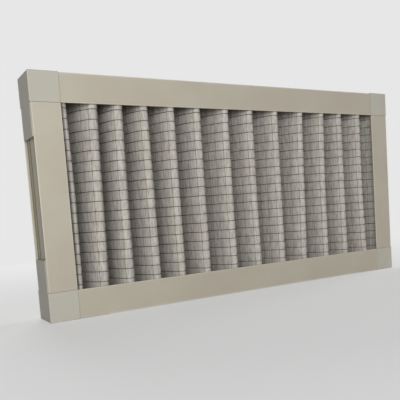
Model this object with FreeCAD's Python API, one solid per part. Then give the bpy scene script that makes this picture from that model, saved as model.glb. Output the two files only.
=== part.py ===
# Pleated panel air filter: an extruded frame with moulded corner pieces, a pleated fibre
# pack and a welded wire mesh over its front.
# Millimetres. +X runs along the long side, the mesh faces -Y and +Z is up.
# The origin is the middle of the panel's underside.

import FreeCAD, Part
import math
import os

Vector = FreeCAD.Vector

# Whole panel, measured over the corner pieces
WIDTH = 595.0
HEIGHT = 295.0
DEPTH = 48.0
BORDER = 36.0           # face of the frame, from the panel's edge to the opening

# Extruded profile: two face flanges joined by a web, open to the outside and to the pack
FACE_SETBACK = 0.25     # profile's face behind the corner piece's face
EDGE_SETBACK = 1.0      # profile's lip inside the corner piece's outer side
FLANGE = 1.5
WEB = 1.5
CHANNEL_DEPTH = 3.2     # outer channel, from the lips down to the web
LIP_ROUND = 0.4
BEAD_THICKNESS = 2.0    # thickened rim of each flange along the opening
BEAD_WIDTH = 2.5
GROOVE_SPACING = 21.2   # two shallow grooves in the floor of the outer channel
GROOVE_WIDTH = 1.6
GROOVE_DEPTH = 0.4
END_GAP = 0.3           # between a profile's cut end and the corner piece

# Moulded corner piece: a hollow block with a flat leg in each of its two channels
CORNER_ROUND = 0.9
LEG_LENGTH = 39.0       # how far a leg reaches past the block
LEG_WIDTH = 40.0
LEG_ROUND = 0.5
LEG_LEAD_IN = 1.5       # slope under the leg's end
LEG_CLEARANCE = 0.1     # between the leg and the channel's floor

# Pleated fibre pack
MEDIA_THICKNESS = 4.0
FOLD_RADIUS = 2.5       # inside radius of every fold
OUTSIDE_FLATS = 3       # flats from a fold's top to its flank, round the outside of the fold
INSIDE_FLATS = 2        # and round its inside
PACK_CLEARANCE = 0.3    # between the pack and the frame, on every side
# Widths of the pleats from left to right as they stand in the frame, each from crest to
# crest. They spread to fill the frame. The last pleat is only half there.
PLEAT_WIDTHS = [35.4, 34.9, 34.4, 37.4, 38.9, 40.4, 45.5, 42.4,
                45.9, 45.9, 43.9, 40.3, 40.9, 40.8, 32.0]

# Welded wire mesh, folded with the media
WIRE = 0.8              # square section of a wire
MESH_PITCH = 12.5       # spacing of the wires both ways, along the folded mesh
VALLEY_CLEAR = 2.4      # upright wires keep this far from the bottom of a valley

# Places that several pieces share. Depths are measured from the panel's middle plane and
# insets from the panel's outer edge.
FACE = DEPTH / 2 - FACE_SETBACK
FLANGE_INSIDE = FACE - FLANGE
BEAD_INSIDE = FACE - BEAD_THICKNESS
FLOOR = EDGE_SETBACK + CHANNEL_DEPTH
POCKET = FLOOR + WEB

PACK_HALF_WIDTH = WIDTH / 2 - POCKET - PACK_CLEARANCE
PACK_BOTTOM = POCKET + PACK_CLEARANCE
PACK_HEIGHT = HEIGHT - 2 * PACK_BOTTOM
MESH_FRONT = -(BEAD_INSIDE - PACK_CLEARANCE)
CREST_FRONT = MESH_FRONT + 2 * WIRE
MEDIA_REAR = BEAD_INSIDE - PACK_CLEARANCE
VALLEY_FRONT = MEDIA_REAR - MEDIA_THICKNESS
OUTER_RADIUS = FOLD_RADIUS + MEDIA_THICKNESS
CREST_CENTRE = CREST_FRONT + OUTER_RADIUS
VALLEY_CENTRE = MEDIA_REAR - OUTER_RADIUS


def rounded_outline(corners):
    """Closed wire in the YZ plane through (y, z, radius) corners, each rounded by its radius."""
    edges = []
    ends = []
    for index, (y, z, radius) in enumerate(corners):
        corner = Vector(0, y, z)
        before = Vector(0, *corners[index - 1][:2]) - corner
        after = Vector(0, *corners[(index + 1) % len(corners)][:2]) - corner
        if radius == 0:
            ends.append((corner, corner))
            continue
        half_angle = before.getAngle(after) / 2
        before.normalize()
        after.normalize()
        back = radius / math.tan(half_angle)
        centre_way = before + after
        centre_way.normalize()
        middle = corner + centre_way * (radius / math.sin(half_angle) - radius)
        start = corner + before * back
        end = corner + after * back
        edges.append(Part.Arc(start, middle, end).toShape())
        ends.append((start, end))
    for index, (start, end) in enumerate(ends):
        edges.append(Part.makeLine(ends[index - 1][1], start))
    return Part.Wire(Part.__sortEdges__(edges))


def profile_section():
    """Corners of the extrusion's outline: y through the depth, z as the inset from the edge."""
    groove_middle = GROOVE_SPACING / 2
    groove_near = groove_middle - GROOVE_WIDTH / 2
    groove_far = groove_middle + GROOVE_WIDTH / 2
    bead_start = BORDER - BEAD_WIDTH
    bead_slope = BEAD_THICKNESS - FLANGE
    half = [
        (groove_near, FLOOR, 0),
        (groove_middle, FLOOR + GROOVE_DEPTH, 0),
        (groove_far, FLOOR, 0),
        (FLANGE_INSIDE, FLOOR, 0),
        (FLANGE_INSIDE, EDGE_SETBACK, LIP_ROUND),
        (FACE, EDGE_SETBACK, LIP_ROUND),
        (FACE, BORDER, LIP_ROUND),
        (BEAD_INSIDE, BORDER, LIP_ROUND),
        (BEAD_INSIDE, bead_start, 0),
        (FLANGE_INSIDE, bead_start - bead_slope, 0),
        (FLANGE_INSIDE, POCKET, 0),
    ]
    return half + [(-y, z, radius) for y, z, radius in reversed(half)]


def profile(length, side_angle, reach):
    """A length of the extrusion on the side of the panel that side_angle turns it to.

    At angle 0 it lies along the bottom. reach is the distance from the panel's centre to
    that side of the panel.
    """
    section = Part.Face(rounded_outline(profile_section()))
    bar = section.extrude(Vector(length, 0, 0))
    bar.translate(Vector(-length / 2, 0, -reach))
    bar.rotate(Vector(0, 0, 0), Vector(0, 1, 0), side_angle)
    bar.translate(Vector(0, 0, HEIGHT / 2))
    return bar


def leg():
    """Flat tongue of a corner piece, along +X from the block, its outer side at Z 0."""
    tip = BORDER + LEG_LENGTH
    thickness = FLOOR - LEG_CLEARANCE
    root = BORDER - POCKET
    side = [
        (root, 0, 0),
        (tip, 0, LEG_ROUND),
        (tip, thickness - LEG_LEAD_IN, 0),
        (tip - LEG_LEAD_IN, thickness, 0),
        (root, thickness, 0),
    ]
    tongue = Part.Face(rounded_outline(side)).extrude(Vector(LEG_WIDTH, 0, 0))
    tongue.translate(Vector(-LEG_WIDTH / 2, 0, 0))
    tongue.rotate(Vector(0, 0, 0), Vector(0, 0, 1), -90)
    return tongue


def corner_piece():
    """Lower left corner piece, its outer corner at X 0 and Z 0."""
    block = Part.makeBox(BORDER, DEPTH, BORDER, Vector(0, -DEPTH / 2, 0))
    outer_edges = [
        edge for edge in block.Edges
        if min(edge.CenterOfMass.x, edge.CenterOfMass.z) < CORNER_ROUND / 2
        and max(edge.CenterOfMass.x, edge.CenterOfMass.z) < BORDER - CORNER_ROUND / 2
    ]
    block = block.makeFillet(CORNER_ROUND, outer_edges)
    inside = BORDER - POCKET
    hollow = Part.makeBox(inside, 2 * FLANGE_INSIDE, inside, Vector(POCKET, -FLANGE_INSIDE, POCKET))
    bottom_leg = leg()
    side_leg = bottom_leg.mirror(Vector(0, 0, 0), Vector(1, 0, -1))
    return block.cut(hollow).fuse([bottom_leg, side_leg]).removeSplitter()


def corner_pieces():
    """The four corner pieces, by name, as mirror images of the lower left one."""
    lower_left = corner_piece()
    lower_left.translate(Vector(-WIDTH / 2, 0, 0))
    centre = Vector(0, 0, HEIGHT / 2)
    across = Vector(1, 0, 0)
    upward = Vector(0, 0, 1)
    upper_left = lower_left.mirror(centre, upward)
    return {
        "corner_bottom_left": lower_left,
        "corner_bottom_right": lower_left.mirror(centre, across),
        "corner_top_left": upper_left,
        "corner_top_right": upper_left.mirror(centre, across),
    }


def fold_positions():
    """X of each fold from left to right: a crest at the left end, a valley at the right end."""
    halves = [width / 2 for width in PLEAT_WIDTHS for _ in range(2)][:-1]
    spread = 2 * PACK_HALF_WIDTH / sum(halves)
    folds = [-PACK_HALF_WIDTH]
    for half in halves:
        folds.append(folds[-1] + half * spread)
    return folds


def flank_lean(across):
    """Angle of a flank from the Y axis, from the X distance between its two folds."""
    deep = VALLEY_CENTRE - CREST_CENTRE
    folds_apart = math.hypot(across, deep)
    return math.atan2(across, deep) - math.asin((FOLD_RADIUS + OUTER_RADIUS) / folds_apart)


def sheet_side(crest_radius, valley_radius):
    """Points of one side of the folded sheet, from left to right, seen from above."""
    folds = fold_positions()
    leans = [flank_lean(right - left) for left, right in zip(folds, folds[1:])]
    points = []
    for index, x in enumerate(folds):
        is_crest = index % 2 == 0
        radius = crest_radius if is_crest else valley_radius
        centre = CREST_CENTRE if is_crest else VALLEY_CENTRE
        toward_apex = -1 if is_crest else 1
        flats = round(OUTSIDE_FLATS if radius == OUTER_RADIUS else INSIDE_FLATS)
        first = -flats if index > 0 else 0
        last = flats if index < len(leans) else 0
        for step in range(first, last + 1):
            lean = leans[index - 1] if step < 0 or index == len(leans) else leans[index]
            turn = step / flats * (math.pi / 2 - lean)
            across = radius * math.sin(turn)
            along = toward_apex * radius * math.cos(turn)
            points.append(Vector(x + across, centre + along, 0))
    return points


def pleated_media():
    """The folded fibre sheet as one solid, standing on the lower profile."""
    front = sheet_side(OUTER_RADIUS, FOLD_RADIUS)
    rear = sheet_side(FOLD_RADIUS, OUTER_RADIUS)
    outline = Part.makePolygon(front + rear[::-1] + [front[0]])
    sheet = Part.Face(outline).extrude(Vector(0, 0, PACK_HEIGHT))
    sheet.translate(Vector(0, 0, PACK_BOTTOM))
    return sheet


def wire_path():
    """Bends of a cross wire, seen from above, on the side that lies on the media.

    It lies flat over each crest, runs down beside the fold and meets the bottom of the
    valley in one sharp bend.
    """
    folds = fold_positions()
    bends = [Vector(folds[0], CREST_FRONT, 0)]
    for index in range(len(folds) - 1):
        across = folds[index + 1] - folds[index]
        deep = VALLEY_FRONT - CREST_CENTRE
        lean = math.atan2(across, deep) - math.asin(OUTER_RADIUS / math.hypot(across, deep))
        run = (VALLEY_FRONT - CREST_FRONT) * math.tan(lean)
        if index % 2 == 0:
            bends.append(Vector(folds[index + 1] - run, CREST_FRONT, 0))
            bends.append(Vector(folds[index + 1], VALLEY_FRONT, 0))
        else:
            bends.append(Vector(folds[index] + run, CREST_FRONT, 0))
    return bends


def set_off(bends, distance):
    """The same bends moved out to the front by a distance, with mitred corners."""
    mirror_first = Vector(2 * bends[0].x - bends[1].x, bends[1].y, 0)
    mirror_last = Vector(2 * bends[-1].x - bends[-2].x, bends[-2].y, 0)
    line = [mirror_first] + bends + [mirror_last]
    moved = []
    for before, bend, after in zip(line, line[1:], line[2:]):
        first = front_normal(before, bend)
        second = front_normal(bend, after)
        mitre = first + second
        mitre.normalize()
        moved.append(bend + mitre * (distance / mitre.dot(first)))
    return moved


def front_normal(start, end):
    """Unit vector square to a run of wire, pointing to the front."""
    run = end - start
    normal = Vector(run.y, -run.x, 0) * (1 if run.x > 0 else -1)
    normal.normalize()
    return normal


def cross_wires():
    """The wires that follow the pleats, one above the other."""
    inner = wire_path()
    outer = set_off(inner, WIRE)
    outline = Part.makePolygon(inner + outer[::-1] + [inner[0]])
    wire = Part.Face(outline).extrude(Vector(0, 0, WIRE))
    rows = int(PACK_HEIGHT // MESH_PITCH)
    lowest = HEIGHT / 2 - (rows - 1) / 2 * MESH_PITCH - WIRE / 2
    wires = []
    for row in range(rows):
        copy = wire.copy()
        copy.translate(Vector(0, 0, lowest + row * MESH_PITCH))
        wires.append(copy)
    return wires


def half_pleats():
    """Crest, shoulder and valley of each half pleat, on the front of the cross wires."""
    bends = set_off(wire_path(), WIRE)
    folds = fold_positions()
    halves = []
    for index in range(len(folds) - 1):
        valley_is_right = index % 2 == 0
        valley = bends[index // 2 * 3 + 2]
        shoulder = bends[index // 2 * 3 + (1 if valley_is_right else 3)]
        crest = Vector(folds[index if valley_is_right else index + 1], shoulder.y, 0)
        halves.append((crest, shoulder, valley))
    return halves


def upright_wires():
    """The straight wires across the others. Each crest stands midway between two of them."""
    wires = []
    for crest, shoulder, valley in half_pleats():
        top = (shoulder - crest).Length
        flank = (valley - shoulder).Length
        walked = MESH_PITCH / 2
        while walked < top + flank - VALLEY_CLEAR:
            if walked < top:
                wires.append(upright_wire(crest, shoulder, min(walked, top - WIRE / 2)))
            else:
                wires.append(upright_wire(shoulder, valley, max(walked - top, WIRE / 2)))
            walked += MESH_PITCH
    return wires


def upright_wire(start, end, distance):
    """A straight wire of the pack's height, a distance along a run of the cross wires."""
    run = end - start
    run.normalize()
    normal = front_normal(start, end)
    near = start + run * (distance - WIRE / 2)
    far = start + run * (distance + WIRE / 2)
    outline = Part.makePolygon([near, far, far + normal * WIRE, near + normal * WIRE, near])
    wire = Part.Face(outline).extrude(Vector(0, 0, PACK_HEIGHT))
    wire.translate(Vector(0, 0, PACK_BOTTOM))
    return wire


def wire_mesh():
    """All wires of the mesh, each a solid that lies against those it crosses."""
    return Part.makeCompound(cross_wires() + upright_wires())


def build():
    """Every piece of the panel by name."""
    between_corners = WIDTH - 2 * (BORDER + END_GAP)
    side_length = HEIGHT - 2 * (BORDER + END_GAP)
    pieces = {
        "bottom_profile": profile(between_corners, 0, HEIGHT / 2),
        "left_profile": profile(side_length, 90, WIDTH / 2),
        "top_profile": profile(between_corners, 180, HEIGHT / 2),
        "right_profile": profile(side_length, 270, WIDTH / 2),
        "pleated_media": pleated_media(),
        "wire_mesh": wire_mesh(),
    }
    pieces.update(corner_pieces())
    return pieces


os.makedirs("parts", exist_ok=True)
for name, piece in build().items():
    piece.exportStep(f"parts/{name}.step")
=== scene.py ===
import math

import bpy
import numpy as np
from mathutils import Matrix, Vector


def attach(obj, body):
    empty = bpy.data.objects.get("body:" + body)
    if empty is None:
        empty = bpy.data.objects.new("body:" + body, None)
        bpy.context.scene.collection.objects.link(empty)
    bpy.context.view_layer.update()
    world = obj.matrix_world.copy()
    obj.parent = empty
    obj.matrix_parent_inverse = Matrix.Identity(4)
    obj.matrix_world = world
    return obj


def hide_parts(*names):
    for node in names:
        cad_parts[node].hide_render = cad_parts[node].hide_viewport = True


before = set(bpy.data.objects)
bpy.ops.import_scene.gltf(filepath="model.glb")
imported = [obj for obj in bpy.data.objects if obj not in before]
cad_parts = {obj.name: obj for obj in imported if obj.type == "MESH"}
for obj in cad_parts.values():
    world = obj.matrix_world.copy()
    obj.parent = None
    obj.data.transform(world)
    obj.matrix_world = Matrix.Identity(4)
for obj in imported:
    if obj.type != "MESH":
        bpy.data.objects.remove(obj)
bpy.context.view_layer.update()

# Sizes of the folded sheet, the mesh and the frame in metres, the same as in the part's source
# apart from the fold radius
WIDTH = 0.595
HEIGHT = 0.295
BORDER = 0.036                # width of the frame's front
PACK_BOTTOM = 0.006
PACK_HALF_WIDTH = 0.2915
MEDIA_THICKNESS = 0.004
FOLD_RADIUS = 0.0040          # to the middle of the sheet, a little tighter than in the source
CREST_FRONT = -0.01985
MEDIA_REAR = 0.02145
PLEAT_WIDTHS = [35.4, 34.9, 34.4, 37.4, 38.9, 40.4, 45.5, 42.4,
                45.9, 45.9, 43.9, 40.3, 40.9, 40.8, 32.0]
WIRE_RADIUS = 0.0004
MESH_PITCH = 0.0125
VALLEY_CLEAR = 0.0024         # upright wires keep this far from the bottom of a valley
EDGE_SETBACK = 0.001          # a profile's lips inside the corner piece's outer side
CHANNEL_FLOOR = 0.0042        # floor of its outer channel inside that side
FACE = 0.02375                # its faces from the middle plane
HALF_DEPTH = 0.024
PACK_TOP = HEIGHT - PACK_BOTTOM
MIDDLE = HEIGHT / 2
VALLEY_CENTRE = MEDIA_REAR - MEDIA_THICKNESS / 2 - FOLD_RADIUS

# What the scene adds to the sheet and the mesh
BOW = math.radians(9)         # each end of a flank turns this far from its middle, to the front
PRESSED_IN = 0.6              # an upright wire's middle off the sheet, as a share of its radius

# How far each crest stands to the right of its CAD place, at the top, in the middle and at
# the bottom of the opening, in millimetres
CREST_WAVER = [
    (0.0, 0.0, 0.0), (-0.6, 1.3, 0.4), (0.6, -1.4, -3.3), (-0.4, -2.0, -2.2), (-2.6, -1.6, -0.8),
    (-2.4, -2.3, -2.0), (-2.5, -2.7, -1.8), (-1.9, -2.2, -1.4), (-1.8, -1.8, -0.5),
    (-1.4, -1.8, -1.4), (1.6, -1.3, -4.3), (1.2, -1.8, -2.0), (-1.2, -0.6, 0.1),
    (-0.2, -0.6, 3.5), (0.6, 0.0, -0.6),
]
WAVER_SPAN = 0.11             # height above and below the middle at which the ends are given
WAVER_REACH = 1.25            # the waver goes on this far past the middle, in spans
PINCHED_CREST = 1             # the first whole crest is pressed narrower and thinner
PINCHED_RADIUS = 0.0011
PINCHED_THICKNESS = 0.55      # as a share of the full thickness
PINCH_REACH = 0.02            # along the sheet from the crest
SHIFTED_FOLD = 3              # the valley after the pinched crest stands nearer to it
FOLD_SHIFT = 0.006
END_PLEAT_SHADOW = 0.75             # painted shadow of the frame's lip: how much the sealed end pleat, left of that crest, is darker
PINCHED_CREST_SHADOW = 0.15          # painted shadow: how much that crest itself is darker

# Numbers of steps round a crest, along a flank and round a valley
SHEET_STEPS = (6, 9, 5)
CROSS_WIRE_STEPS = (5, 8, 4)
FINE_STEPS = (12, 24, 8)


# The folded sheet

def fold_positions():
    """X of each fold from left to right: a crest at the left end, a valley at the right."""
    halves = [width / 2 for width in PLEAT_WIDTHS for _ in range(2)][:-1]
    spread = 2 * PACK_HALF_WIDTH / sum(halves)
    folds = np.concatenate([[0.0], np.cumsum(halves)]) * spread - PACK_HALF_WIDTH
    folds[SHIFTED_FOLD] -= FOLD_SHIFT
    return folds


FOLDS = fold_positions()


def flank(across, deep, radii):
    """A flank's mean angle from the Y axis, and its straight length from end to end.

    across and deep are between the centres of the two folds, radii the sum of their radii.
    """
    apart = math.hypot(across, deep)
    offset = radii * math.cos(BOW)
    lean = math.atan2(across, deep) - math.asin(offset / apart)
    return lean, math.sqrt(apart ** 2 - offset ** 2)


def half_pleat(index, steps):
    """Middle line of the sheet from fold index to the next one.

    Gives a row for each point: x, y, the sheet's turn to the front, distance from the crest
    along the sheet's front, place in folds, distance along the middle line from where the half
    pleat starts, and share of the full thickness.
    """
    pinched = (index + 1) // 2 == PINCHED_CREST
    radius = PINCHED_RADIUS if pinched else FOLD_RADIUS
    thinnest = PINCHED_THICKNESS if pinched else 1.0
    crest_y = CREST_FRONT + thinnest * MEDIA_THICKNESS / 2 + radius
    across = FOLDS[index + 1] - FOLDS[index]
    lean, chord = flank(across, VALLEY_CENTRE - crest_y, radius + FOLD_RADIUS)
    crest_turn = math.pi / 2 - lean - BOW
    valley_turn = math.pi / 2 - lean + BOW
    length = chord * BOW / math.sin(BOW)
    bow_radius = length / (2 * BOW)
    out = MEDIA_THICKNESS / 2
    x, y, turn, front, middle = [], [], [], [], []

    # Round the crest
    for angle in np.linspace(0, crest_turn, steps[0] + 1)[:-1]:
        x.append(radius * math.sin(angle))
        y.append(crest_y - radius * math.cos(angle))
        turn.append(angle)
        middle.append(radius * angle)
        front.append((radius + out) * angle)

    # Along the flank
    start_x = radius * math.sin(crest_turn)
    start_y = crest_y - radius * math.cos(crest_turn)
    start_middle = radius * crest_turn
    start_front = (radius + out) * crest_turn
    for angle in np.linspace(crest_turn, valley_turn, steps[1] + 1)[:-1]:
        x.append(start_x + bow_radius * (math.sin(angle) - math.sin(crest_turn)))
        y.append(start_y + bow_radius * (math.cos(crest_turn) - math.cos(angle)))
        turn.append(angle)
        middle.append(start_middle + bow_radius * (angle - crest_turn))
        front.append(start_front + (bow_radius + out) * (angle - crest_turn))

    # Round the valley
    end_middle = start_middle + length
    end_front = start_front + length + 2 * BOW * out
    for angle in np.linspace(valley_turn, 0, steps[2] + 1):
        x.append(across - FOLD_RADIUS * math.sin(angle))
        y.append(VALLEY_CENTRE + FOLD_RADIUS * math.cos(angle))
        turn.append(angle)
        past = valley_turn - angle
        middle.append(end_middle + FOLD_RADIUS * past)
        front.append(end_front + (FOLD_RADIUS - out) * past)

    middle = np.array(middle)
    thick = 1 - (1 - thinnest) * np.exp(-(middle / PINCH_REACH) ** 2)
    rows = np.column_stack([x, y, turn, front, index + middle / middle[-1], middle, thick])
    crest_is_left = index % 2 == 0
    if crest_is_left:
        rows[:, 0] += FOLDS[index]
        return rows
    rows[:, 0] = FOLDS[index + 1] - rows[:, 0]
    rows[:, 2] *= -1
    rows[:, 4] = 2 * index + 1 - rows[:, 4]
    rows[:, 5] = middle[-1] - rows[:, 5]
    return rows[::-1]


def sheet_line(steps):
    """The whole sheet's middle line.

    Gives a row for each point: x, y, front normal x and y, distance from the crest, place in
    folds, distance walked, and share of the full thickness.
    """
    rows = []
    walked = 0.0
    for index in range(len(FOLDS) - 1):
        half = half_pleat(index, steps)
        last = len(half) if index == len(FOLDS) - 2 else -1
        half[:, 5] += walked
        walked = half[-1, 5]
        rows.append(half[:last])
    x, y, turn, front, place, walked, thick = np.concatenate(rows).T
    return np.column_stack([x, y, np.sin(turn), -np.cos(turn), front, place, walked, thick])


def waver(place, z):
    """Sideways shift of the sheet where it is place folds along, at height z."""
    height = np.clip((z - MIDDLE) / WAVER_SPAN, -WAVER_REACH, WAVER_REACH)
    crests = np.array(CREST_WAVER) / 1000
    top, mid, low = crests[:, 0], crests[:, 1], crests[:, 2]
    fold = place / 2
    index = np.clip(np.floor(fold).astype(int), 0, len(crests) - 1)
    after = np.clip(index + 1, 0, len(crests) - 1)
    part = fold - np.floor(fold)
    part = part * part * (3 - 2 * part)

    def at(which):
        """Shift of the given crests at each height."""
        up = np.clip(height, 0, None)
        down = np.clip(-height, 0, None)
        bend_up = up * up * (3 - up) / 2
        bend_down = down * down * (3 - down) / 2
        rise = (top[which] - mid[which]) * (0.5 * up + 0.5 * bend_up)
        fall = (low[which] - mid[which]) * (0.5 * down + 0.5 * bend_down)
        return mid[which] + rise + fall

    shift = at(index) * (1 - part) + at(after) * part
    ends = np.clip(np.minimum(place, len(FOLDS) - 1 - place), 0, 1)
    return shift * ends


CROSS_WIRES = 22
WIRE_ROWS = MIDDLE + (np.arange(CROSS_WIRES) - (CROSS_WIRES - 1) / 2) * MESH_PITCH
VALLEY_SQUARE = 3             # the mesh square that spans a valley, counted from the crest's
PILLOW_DEPTH = 0.00045        # of the media between the wires, in a valley
CREST_DEPTH = 0.0005          # and how much deeper on a crest
DEPTH_AT_WIRE = 0.42          # share of the depth that is left along an upright wire

# How large the puff in each square of the mesh is, by row and by place across
rng = np.random.default_rng(7)
PILLOW_SIZES = rng.uniform(0.75, 1.25, (CROSS_WIRES + 2, 100))

# Length along the sheet's front from the crest to the valley of each half pleat
HALF_LENGTHS = np.array([half_pleat(index, (1, 1, 1))[:, 3].max()
                         for index in range(len(FOLDS) - 1)])


def pillow(place, from_crest, z):
    """How far the sheet puffs out between the wires of the mesh.

    place is in folds, from_crest the distance along the sheet's front from the nearest crest.
    """
    half = np.minimum(np.floor(place), len(FOLDS) - 2).astype(int)
    side = np.where(half % 2 == 0, 1, -1)
    row = (z - WIRE_ROWS[0]) / MESH_PITCH
    column = from_crest / MESH_PITCH + 0.5
    to_valley = HALF_LENGTHS[half] / MESH_PITCH + 0.5 - VALLEY_SQUARE
    part = np.where(column < VALLEY_SQUARE, column % 1, (column - VALLEY_SQUARE) / to_valley / 2)
    square = side * np.minimum(np.floor(column), VALLEY_SQUARE).astype(int)
    crest = (half + 1) // 2
    size = PILLOW_SIZES[np.floor(row).astype(int) + 1, 2 * VALLEY_SQUARE * crest + square]
    across_row = np.sin(math.pi * (row % 1)) ** 0.7
    across_column = np.sin(math.pi * np.clip(part, 0, 1)) ** 0.8
    depth = PILLOW_DEPTH + CREST_DEPTH * (0.5 + 0.5 * np.cos(math.pi * place))
    return depth * size * across_row * (DEPTH_AT_WIRE + (1 - DEPTH_AT_WIRE) * across_column)


def grid_faces(rows, columns, offset=0, flip=False):
    """Quads of a grid of vertices stored row by row."""
    index = np.arange(rows * columns).reshape(rows, columns) + offset
    quads = np.stack([index[:-1, :-1], index[:-1, 1:], index[1:, 1:], index[1:, :-1]], -1)
    quads = quads.reshape(-1, 4)
    return (quads[:, ::-1] if flip else quads).tolist()


def mesh_object(name, vertices, faces, smooth=True):
    mesh = bpy.data.meshes.new(name)
    mesh.from_pydata(np.asarray(vertices).tolist(), [], faces)
    mesh.validate()
    mesh.polygons.foreach_set("use_smooth", [smooth] * len(mesh.polygons))
    mesh.update()
    thing = bpy.data.objects.new(name, mesh)
    bpy.context.scene.collection.objects.link(thing)
    return thing


ROW_PARTS = (0, 0.09, 0.26, 0.5, 0.74, 0.91)   # rows of vertices from a cross wire to the next


def row_heights():
    """Heights of the sheet's rows of vertices: close together beside each cross wire."""
    nearest = 0.0004              # to the sheet's lower and upper edges
    heights = []
    for base in np.concatenate([[WIRE_ROWS[0] - MESH_PITCH], WIRE_ROWS]):
        heights += [base + MESH_PITCH * part for part in ROW_PARTS]
    heights = [z for z in heights if PACK_BOTTOM + nearest < z < PACK_TOP - nearest]
    return np.array([PACK_BOTTOM] + heights + [PACK_TOP])


def fold_shade(depth):
    """Painted shade in the folds, from depth 0 on a crest to 1 in a valley."""
    return np.interp(depth, [0, 0.03, 0.08, 0.2, 0.35, 0.6, 1],
                     [1.0, 0.95, 0.85, 0.72, 0.66, 0.66, 0.73])


def frame_lip_shadow(place):
    """How much the painted shadow of the frame's lip darkens the sealed pleat at the left end and
    the pinched crest beside it.
    """
    return np.interp(place, [1.895, 1.955, 2.2, 2.4],
                     [END_PLEAT_SHADOW, PINCHED_CREST_SHADOW, PINCHED_CREST_SHADOW, 0])


def media():
    """The fibre sheet, puffed out between the wires in front and smooth behind."""
    x, y, nx, ny, from_crest, place, walked, thick = sheet_line(SHEET_STEPS).T
    columns = len(x)
    front_z = row_heights()
    rear_rows = [*range(0, len(front_z) - 1, len(ROW_PARTS)), len(front_z) - 1]

    def side(heights, distance, puffs):
        """Vertices of the front or the rear, row by row."""
        z = heights[:, None] + 0 * x
        puff = pillow(place + 0 * z, from_crest, z) if puffs else 0 * z
        out = thick * (distance + puff)
        across = x + nx * out + waver(place + 0 * z, z)
        across = np.clip(across, -PACK_HALF_WIDTH, PACK_HALF_WIDTH)
        return np.stack([across, y + ny * out, z], -1).reshape(-1, 3)

    front = side(front_z, MEDIA_THICKNESS / 2, True)
    rear = side(front_z[rear_rows], -MEDIA_THICKNESS / 2, False)
    start = len(front)
    top_front, top_rear = start - columns, start + len(rear) - columns
    faces = grid_faces(len(front_z), columns)
    faces += grid_faces(len(rear_rows), columns, start, True)
    # Lower and upper edges, then the two ends
    for c in range(columns - 1):
        faces.append([c + 1, c, start + c, start + c + 1])
        faces.append([top_front + c, top_front + c + 1, top_rear + c + 1, top_rear + c])
    for k, (low, high) in enumerate(zip(rear_rows, rear_rows[1:])):
        left = [row * columns for row in range(low, high + 1)]
        right = [first + columns - 1 for first in left]
        rear_low = start + k * columns
        rear_high = rear_low + columns
        faces.append(left[::-1] + [rear_low, rear_high])
        faces.append(right + [rear_high + columns - 1, rear_low + columns - 1])
    thing = mesh_object("media", np.concatenate([front, rear]), faces)
    # Painted shade on the sheet: each fold darker towards its bottom, in front and behind
    toward_valley = 0.5 - 0.5 * np.cos(math.pi * place)
    in_front = fold_shade(toward_valley) * (1 - frame_lip_shadow(place))
    shades = np.concatenate([np.tile(in_front, len(front_z)),
                             np.tile(fold_shade(1 - toward_valley), len(rear_rows))])
    thing.data.attributes.new("fold_shade", "FLOAT", "POINT").data.foreach_set("value", shades)
    return thing, walked[-1]


def tubes(name, lines, radius, sides=6):
    """One mesh of wires with closed ends, each along its own line of points."""
    vertices = []
    faces = []
    first = 0
    for line in lines:
        run = np.gradient(line, axis=0)
        run /= np.linalg.norm(run, axis=1)[:, None]
        up = (0.0, 0.0, 1.0) if abs(run[0][2]) < 0.7 else (1.0, 0.0, 0.0)
        side = np.cross(run, up)
        side /= np.linalg.norm(side, axis=1)[:, None]
        other = np.cross(run, side)
        turns = 2 * math.pi * (np.arange(sides) + 0.5) / sides
        rings = [line + radius * (math.cos(turn) * side + math.sin(turn) * other)
                 for turn in turns]
        vertices.append(np.stack(rings, 1).reshape(-1, 3))
        for i in range(len(line) - 1):
            for k in range(sides):
                a = first + i * sides + k
                b = first + i * sides + (k + 1) % sides
                faces.append([a, b, b + sides, a + sides])
        last = first + (len(line) - 1) * sides
        faces.append([first + k for k in reversed(range(sides))])
        faces.append([last + k for k in range(sides)])
        first = last + sides
    return mesh_object(name, np.concatenate(vertices), faces)


def cross_wires():
    """Lines of the wires that follow the pleats, one above the other, on the sheet."""
    x, y, nx, ny, _, place, _, thick = sheet_line(CROSS_WIRE_STEPS).T
    out = thick * MEDIA_THICKNESS / 2 + WIRE_RADIUS
    wires = []
    for z in WIRE_ROWS:
        across = x + nx * out + waver(place, z)
        across = np.clip(across, -PACK_HALF_WIDTH, PACK_HALF_WIDTH)
        wires.append(np.column_stack([across, y + ny * out, z + 0 * place]))
    return wires


def upright_wires():
    """Lines of the wires across the others, pressed into the sheet.

    Each crest stands midway between two of them.
    """
    z = np.linspace(PACK_BOTTOM, PACK_TOP, 24)
    wires = []
    for index, length in enumerate(HALF_LENGTHS):
        half = half_pleat(index, FINE_STEPS)
        half = half[np.argsort(half[:, 3])]
        for from_crest in np.arange(MESH_PITCH / 2, length - VALLEY_CLEAR, MESH_PITCH):
            x, y, turn, place, thick = (np.interp(from_crest, half[:, 3], half[:, i])
                                        for i in (0, 1, 2, 4, 6))
            out = thick * MEDIA_THICKNESS / 2 + PRESSED_IN * WIRE_RADIUS
            across = x + math.sin(turn) * out + waver(place + 0 * z, z)
            wires.append(np.column_stack([across, y - math.cos(turn) * out + 0 * z, z]))
    return wires


# Materials

def new_material(name):
    material = bpy.data.materials.new(name)
    material.use_nodes = True
    nodes = material.node_tree.nodes
    shader = nodes.get("Principled BSDF")
    return material, nodes, material.node_tree.links, shader


def coordinates(nodes, links, scale):
    place = nodes.new("ShaderNodeTexCoord")
    mapping = nodes.new("ShaderNodeMapping")
    mapping.inputs["Scale"].default_value = scale
    links.new(place.outputs["Object"], mapping.inputs["Vector"])
    return mapping.outputs["Vector"]


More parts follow.
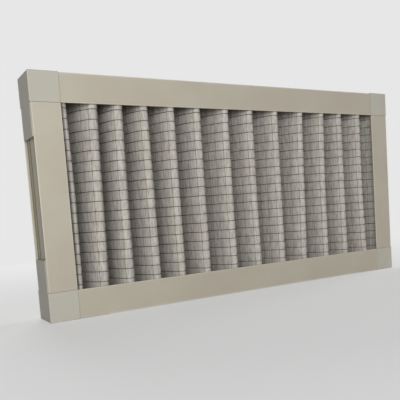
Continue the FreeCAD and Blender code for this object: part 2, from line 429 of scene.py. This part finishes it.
def noise(nodes, links, vector, scale, detail=4.0, roughness=0.55):
    texture = nodes.new("ShaderNodeTexNoise")
    texture.inputs["Scale"].default_value = scale
    texture.inputs["Detail"].default_value = detail
    texture.inputs["Roughness"].default_value = roughness
    links.new(vector, texture.inputs["Vector"])
    return texture.outputs["Fac"]


def ramp(nodes, links, value, stops):
    node = nodes.new("ShaderNodeValToRGB")
    while len(node.color_ramp.elements) < len(stops):
        node.color_ramp.elements.new(0.5)
    for element, (place, colour) in zip(node.color_ramp.elements, stops):
        element.position = place
        element.color = (*colour, 1.0)
    links.new(value, node.inputs["Fac"])
    return node.outputs["Color"]


def mix(nodes, links, factor, first, second, kind="MIX"):
    node = nodes.new("ShaderNodeMix")
    node.data_type = "RGBA"
    node.blend_type = kind
    values = ((node.inputs[0], factor), (node.inputs[6], first), (node.inputs[7], second))
    for socket, value in values:
        if isinstance(value, bpy.types.NodeSocket):
            links.new(value, socket)
        elif isinstance(value, tuple):
            socket.default_value = (*value, 1.0)
        else:
            socket.default_value = value
    return node.outputs[2]


def multiply(nodes, links, first, second):
    return mix(nodes, links, 1.0, first, second, "MULTIPLY")


def in_range(nodes, links, value, low, high, from_low=0.0, from_high=1.0):
    node = nodes.new("ShaderNodeMapRange")
    node.inputs["From Min"].default_value = from_low
    node.inputs["From Max"].default_value = from_high
    node.inputs["To Min"].default_value = low
    node.inputs["To Max"].default_value = high
    links.new(value, node.inputs["Value"])
    return node.outputs["Result"]


def bump(nodes, links, height, distance, strength=1.0, before=None):
    node = nodes.new("ShaderNodeBump")
    node.inputs["Strength"].default_value = strength
    node.inputs["Distance"].default_value = distance
    links.new(height, node.inputs["Height"])
    if before is not None:
        links.new(before, node.inputs["Normal"])
    return node.outputs["Normal"]


def from_middle(nodes, links, letter, middle, low, high):
    """0 nearer than low to the middle along an axis, 1 farther than high."""
    place = nodes.new("ShaderNodeTexCoord")
    parts = nodes.new("ShaderNodeSeparateXYZ")
    links.new(place.outputs["Object"], parts.inputs[0])
    distance = nodes.new("ShaderNodeMath")
    distance.operation = "SUBTRACT"
    links.new(parts.outputs[letter], distance.inputs[0])
    distance.inputs[1].default_value = middle
    size = nodes.new("ShaderNodeMath")
    size.operation = "ABSOLUTE"
    links.new(distance.outputs[0], size.inputs[0])
    return in_range(nodes, links, size.outputs[0], 0.0, 1.0, low, high)


def channel_shade(nodes, links, letter, middle, edge):
    """Painted shade on the floor of a profile's outer channel, darkest in its grooves and dark
    beside its lips.

    letter is the axis across the profile, edge the outer side's distance from the middle.
    """
    painted_shade, groove = (0.64, 0.65, 0.59), (0.25, 0.25, 0.22)
    shades = ramp(nodes, links, from_middle(nodes, links, "Y", 0.0, 0.0, HALF_DEPTH),
                  [(0.0, (0.7, 0.71, 0.65)), (0.34, painted_shade), (0.4, groove), (0.49, groove),
                   (0.55, painted_shade), (0.8, (0.6, 0.61, 0.55)), (0.925, (0.36, 0.36, 0.32)),
                   (0.965, (1.0, 1.0, 1.0))])
    base = edge - CHANNEL_FLOOR
    above = from_middle(nodes, links, letter, middle, base + 0.0001, base + 0.0008)
    below = from_middle(nodes, links, letter, middle, base - 0.0012, base - 0.0007)
    shades = mix(nodes, links, above, shades, (1.0, 1.0, 1.0))
    return mix(nodes, links, below, (1.0, 1.0, 1.0), shades)


def painted_highlight_mask(nodes, links, letter, middle, edge):
    """Where the painted highlight goes: 1 along the edges of a profile's front and rear faces and
    on its lips, 0 elsewhere.

    letter and edge are the same as for the channel's painted shade above.
    """
    lip = edge - EDGE_SETBACK
    rim = edge - BORDER
    outer = from_middle(nodes, links, letter, middle, lip - 0.0016, lip - 0.0008)
    inner = from_middle(nodes, links, letter, middle, rim + 0.0014, rim + 0.0006)
    faces = from_middle(nodes, links, "Y", 0.0, FACE - 0.00065, FACE - 0.00035)
    tips = from_middle(nodes, links, letter, middle, lip - 0.0007, lip - 0.0003)
    either = mix(nodes, links, outer, inner, (1.0, 1.0, 1.0))
    on_faces = mix(nodes, links, faces, (0.0, 0.0, 0.0), either)
    return mix(nodes, links, tips, on_faces, (1.0, 1.0, 1.0))


def profile_material(name, stretch, letter, middle, edge):
    """Satin anodised aluminium with faint lines along the extrusion, painted shade in its outer
    channel and painted highlights along its edges.

    stretch scales the lines, and letter, middle and edge are the same as for the channel's painted
    shade.
    """
    material, nodes, links, shader = new_material(name)
    lines = noise(nodes, links, coordinates(nodes, links, stretch), 1.0, 3.0)
    cloud = noise(nodes, links, coordinates(nodes, links, (1, 1, 1)), 16.0, 3.0)
    grain = noise(nodes, links, coordinates(nodes, links, (1, 1, 1)), 2600.0, 2.0)
    tone = ramp(nodes, links, cloud,
                [(0.3, (0.468, 0.416, 0.341)), (0.7, (0.482, 0.458, 0.371))])
    streak = ramp(nodes, links, lines, [(0.35, (0.98, 0.98, 0.98)), (0.65, (1.0, 1.0, 1.0))])
    colour = multiply(nodes, links, tone, streak)
    # Painted shade in the outer channel
    colour = multiply(nodes, links, colour, channel_shade(nodes, links, letter, middle, edge))
    # Painted highlight: 1.2 times as bright along the faces' edges and on the lips
    painted_highlight = ramp(nodes, links, painted_highlight_mask(nodes, links, letter, middle, edge),
                  [(0.0, (1.0, 1.0, 1.0)), (1.0, (1.2, 1.2, 1.2))])
    colour = multiply(nodes, links, colour, painted_highlight)
    links.new(colour, shader.inputs["Base Color"])
    links.new(in_range(nodes, links, lines, 0.46, 0.6, 0.3, 0.7), shader.inputs["Roughness"])
    normal = bump(nodes, links, lines, 0.00002, 0.5)
    links.new(bump(nodes, links, grain, 0.00002, 0.5, normal), shader.inputs["Normal"])
    shader.inputs["Metallic"].default_value = 0.2
    shader.inputs["Specular IOR Level"].default_value = 0.3
    return material


def corner_material():
    """Fine textured matte plastic, with painted shade on the panel's two end faces and a painted
    highlight near their front and rear edges.
    """
    material, nodes, links, shader = new_material("corner_plastic_look")
    flat = coordinates(nodes, links, (1, 1, 1))
    cloud = noise(nodes, links, flat, 22.0, 4.0)
    grain = noise(nodes, links, flat, 1400.0, 2.0)
    tone = ramp(nodes, links, cloud, [(0.3, (0.497, 0.463, 0.41)), (0.7, (0.51, 0.496, 0.42))])
    # Painted shade: the end faces 0.77 times as bright, with a painted highlight, 1.1 times as
    # bright, near their front and rear edges
    ends = from_middle(nodes, links, "X", 0.0, WIDTH / 2 - 0.0006, WIDTH / 2 - 0.0003)
    edges = from_middle(nodes, links, "Y", 0.0, HALF_DEPTH - 0.0035, HALF_DEPTH - 0.0005)
    end_shade_and_highlight = mix(nodes, links, edges, (0.77, 0.78, 0.79), (1.1, 1.1, 1.1))
    end_shade_and_highlight = mix(nodes, links, ends, (1.0, 1.0, 1.0), end_shade_and_highlight)
    links.new(multiply(nodes, links, tone, end_shade_and_highlight), shader.inputs["Base Color"])
    links.new(in_range(nodes, links, cloud, 0.55, 0.68, 0.3, 0.7), shader.inputs["Roughness"])
    links.new(bump(nodes, links, grain, 0.00006, 0.6), shader.inputs["Normal"])
    shader.inputs["Specular IOR Level"].default_value = 0.05
    return material


def media_material():
    """Off-white fibre felt with fine upright streaks, darkened by painted shade stored on the
    sheet.
    """
    material, nodes, links, shader = new_material("filter_media_look")
    streaks = noise(nodes, links, coordinates(nodes, links, (430, 430, 75)), 1.0, 3.0, 0.6)
    fibres = noise(nodes, links, coordinates(nodes, links, (1, 1, 1)), 1300.0, 4.0, 0.7)
    cloud = noise(nodes, links, coordinates(nodes, links, (1, 1, 1)), 55.0, 3.0)
    tone = ramp(nodes, links, cloud, [(0.3, (0.56, 0.518, 0.469)), (0.7, (0.618, 0.589, 0.531))])
    shade = ramp(nodes, links, streaks, [(0.34, (0.72, 0.72, 0.71)), (0.6, (1.02, 1.02, 1.02))])
    speck = ramp(nodes, links, fibres, [(0.3, (0.86, 0.86, 0.85)), (0.6, (1.0, 1.0, 1.0))])
    colour = multiply(nodes, links, multiply(nodes, links, tone, shade), speck)
    # Painted shade from the sheet's vertices
    painted_shade = nodes.new("ShaderNodeAttribute")
    painted_shade.attribute_name = "fold_shade"
    colour = multiply(nodes, links, colour, painted_shade.outputs["Color"])
    links.new(colour, shader.inputs["Base Color"])
    links.new(in_range(nodes, links, fibres, 0.88, 1.0), shader.inputs["Roughness"])
    normal = bump(nodes, links, streaks, 0.0003, 0.7)
    links.new(bump(nodes, links, fibres, 0.0003, 0.6, normal), shader.inputs["Normal"])
    shader.inputs["Specular IOR Level"].default_value = 0.2
    return material


def wire_material(name, dark, light):
    """Dull galvanised wire."""
    material, nodes, links, shader = new_material(name)
    spots = noise(nodes, links, coordinates(nodes, links, (1, 1, 1)), 700.0, 3.0)
    links.new(ramp(nodes, links, spots, [(0.35, dark), (0.65, light)]), shader.inputs["Base Color"])
    links.new(in_range(nodes, links, spots, 0.45, 0.7), shader.inputs["Roughness"])
    links.new(bump(nodes, links, spots, 0.00005, 0.5), shader.inputs["Normal"])
    shader.inputs["Metallic"].default_value = 0.6
    return material


def dress(thing, material):
    thing.data.materials.clear()
    thing.data.materials.append(material)


media_piece, developed_length = media()
dress(media_piece, media_material())
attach(media_piece, "root")
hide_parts("pleated_media")

cross = tubes("mesh_cross_wires", cross_wires(), WIRE_RADIUS)
dress(cross, wire_material("cross_wire_look", (0.07, 0.06, 0.052), (0.13, 0.115, 0.1)))
# Painted light: the upright wires get a lighter copy of the wire colour than the cross wires,
# standing in for the light falling more on them
upright = tubes("mesh_upright_wires", upright_wires(), WIRE_RADIUS)
dress(upright, wire_material("upright_wire_look", (0.17, 0.155, 0.14), (0.28, 0.258, 0.24)))
for piece in (cross, upright):
    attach(piece, "root")
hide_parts("wire_mesh")

long_profile = profile_material("long_profile_look", (6, 700, 700), "Z", MIDDLE, MIDDLE)
short_profile = profile_material("short_profile_look", (700, 700, 6), "X", 0.0, WIDTH / 2)
plastic = corner_material()
for name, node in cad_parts.items():
    if name in ("top_profile", "bottom_profile"):
        dress(node, long_profile)
    elif name in ("left_profile", "right_profile"):
        dress(node, short_profile)
    elif name.startswith("corner_"):
        dress(node, plastic)


# Floor, light and camera

BACKDROP = 0.8                # brightness of the background
WORLD_LIGHT = 0.08            # brightness of the even light on the object
AIM = (0, 0, 0.15)            # where the lights point
FADE_START = 0.35             # distances over which the floor turns into the background
FADE_END = 1.1
FADE_LEAST = 0.45             # share of the background near the object


def floor():
    """Pale floor that keeps the shadow near the object and fades into the background."""
    reach = 30.0
    thing = mesh_object("floor", [(-reach, -reach, 0), (reach, -reach, 0), (reach, reach, 0),
                                  (-reach, reach, 0)], [[0, 1, 2, 3]], False)
    material, nodes, links, shader = new_material("floor_look")
    shader.inputs["Base Color"].default_value = (0.85, 0.85, 0.85, 1)
    shader.inputs["Roughness"].default_value = 0.9
    glow = nodes.new("ShaderNodeEmission")
    glow.inputs["Strength"].default_value = BACKDROP
    place = nodes.new("ShaderNodeTexCoord")
    distance = nodes.new("ShaderNodeVectorMath")
    distance.operation = "LENGTH"
    links.new(place.outputs["Object"], distance.inputs[0])
    far = in_range(nodes, links, distance.outputs["Value"], FADE_LEAST, 1.0, FADE_START, FADE_END)
    seen = nodes.new("ShaderNodeMath")
    seen.operation = "MULTIPLY"
    links.new(far, seen.inputs[0])
    links.new(seen_rays(nodes, links), seen.inputs[1])
    blend = nodes.new("ShaderNodeMixShader")
    links.new(seen.outputs[0], blend.inputs[0])
    links.new(shader.outputs[0], blend.inputs[1])
    links.new(glow.outputs[0], blend.inputs[2])
    links.new(blend.outputs[0], nodes["Material Output"].inputs[0])
    dress(thing, material)


def area_light(name, place, size, power):
    """Soft light aimed at the middle of the panel and hidden from the camera."""
    data = bpy.data.lights.new(name, "AREA")
    data.shape = "RECTANGLE"
    data.size, data.size_y = size
    data.energy = power
    lamp = bpy.data.objects.new(name, data)
    lamp.location = place
    lamp.rotation_mode = "QUATERNION"
    lamp.rotation_quaternion = (Vector(AIM) - Vector(place)).to_track_quat("-Z", "Y")
    lamp.visible_camera = False
    bpy.context.scene.collection.objects.link(lamp)


def seen_rays(nodes, links):
    """1 for rays from the camera, of gloss and through glass."""
    rays = nodes.new("ShaderNodeLightPath")
    result = rays.outputs["Is Camera Ray"]
    for kind in ("Is Glossy Ray", "Is Transmission Ray"):
        either = nodes.new("ShaderNodeMath")
        either.operation = "MAXIMUM"
        links.new(result, either.inputs[0])
        links.new(rays.outputs[kind], either.inputs[1])
        result = either.outputs[0]
    return result


def pale_world():
    """Faint even light, with a pale background for the camera and for reflections."""
    world = bpy.data.worlds.new("pale_world")
    bpy.context.scene.world = world
    world.use_nodes = True
    nodes, links = world.node_tree.nodes, world.node_tree.links
    back = nodes["Background"]
    back.inputs["Color"].default_value = (1, 1, 1, 1)
    back.inputs["Strength"].default_value = WORLD_LIGHT
    seen = nodes.new("ShaderNodeBackground")
    seen.inputs["Color"].default_value = (1, 1, 1, 1)
    seen.inputs["Strength"].default_value = BACKDROP
    blend = nodes.new("ShaderNodeMixShader")
    links.new(seen_rays(nodes, links), blend.inputs[0])
    links.new(back.outputs[0], blend.inputs[1])
    links.new(seen.outputs[0], blend.inputs[2])
    links.new(blend.outputs[0], nodes["World Output"].inputs[0])


def camera():
    """The photo's view, fitted to the corners of the frame."""
    data = bpy.data.cameras.new("camera")
    data.sensor_width = 36.0
    data.lens = 48.913
    data.shift_y = 0.15
    thing = bpy.data.objects.new("camera", data)
    forward = Vector((0.50404, 0.85916, -0.08824)).normalized()
    up = Vector((0.10598, 0.03987, 0.99357))
    right = forward.cross(up).normalized()
    up = right.cross(forward)
    turn = Matrix((right, up, -forward)).transposed()
    thing.matrix_world = Matrix.Translation((-0.46291, -0.66410, 0.11956)) @ turn.to_4x4()
    bpy.context.scene.collection.objects.link(thing)
    bpy.context.scene.camera = thing


floor()
pale_world()
area_light("key", (-1.1, -1.85, 0.55), (2.2, 0.9), 37.2)
area_light("back_light", (0.35, 1.9, 0.8), (1.2, 0.8), 26.0)
area_light("right_light", (2.2, 0.3, 1.1), (0.8, 0.8), 19.0)
camera()
bpy.context.scene.view_settings.view_transform = "Standard"
